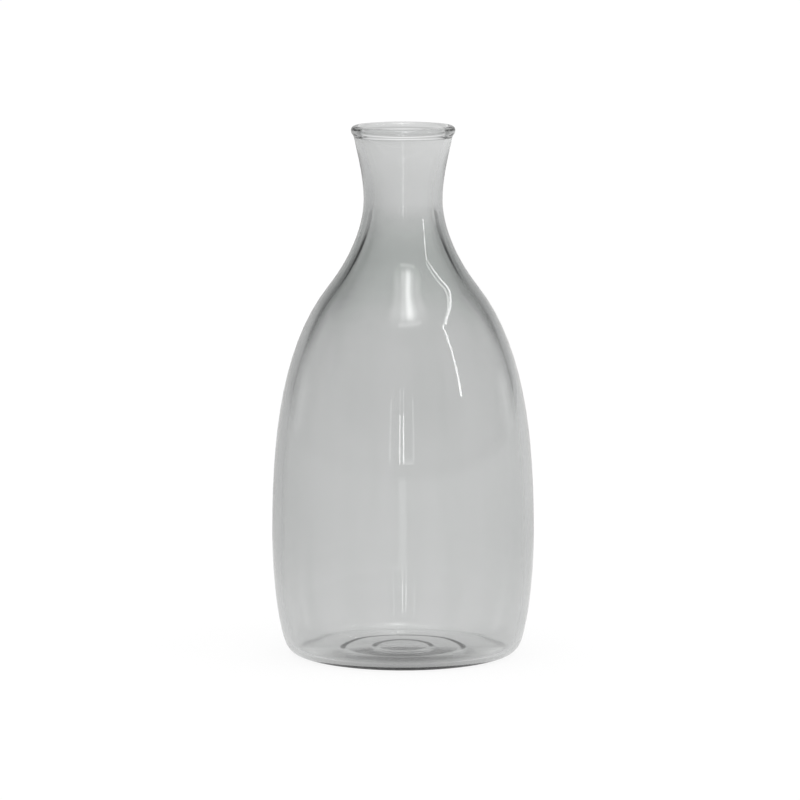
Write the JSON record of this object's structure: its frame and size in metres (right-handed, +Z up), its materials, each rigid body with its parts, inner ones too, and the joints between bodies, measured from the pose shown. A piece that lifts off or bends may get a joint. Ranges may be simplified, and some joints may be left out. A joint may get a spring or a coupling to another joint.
{
  "type": "bottle vase",
  "caption": "Blown glass bottle vase with a beaded, flared lip, slim neck, sloping shoulders, a tall swelling belly and a thin base ringed underneath; holds water and cut stems.",
  "frame": {"origin": "centre of the foot ring, on the surface that the vase stands on", "axes": "+Z up along the vase's axis of revolution; X and Y are alike, because the vase is round"},
  "size_m": [0.0992, 0.0992, 0.2],
  "materials": {
    "smoke_glass": "clear, fire polished, tinted smoke grey"
  },
  "bodies": {
    "root": {"glass_vessel": "smoke_glass"}
  },
  "joints": []
}
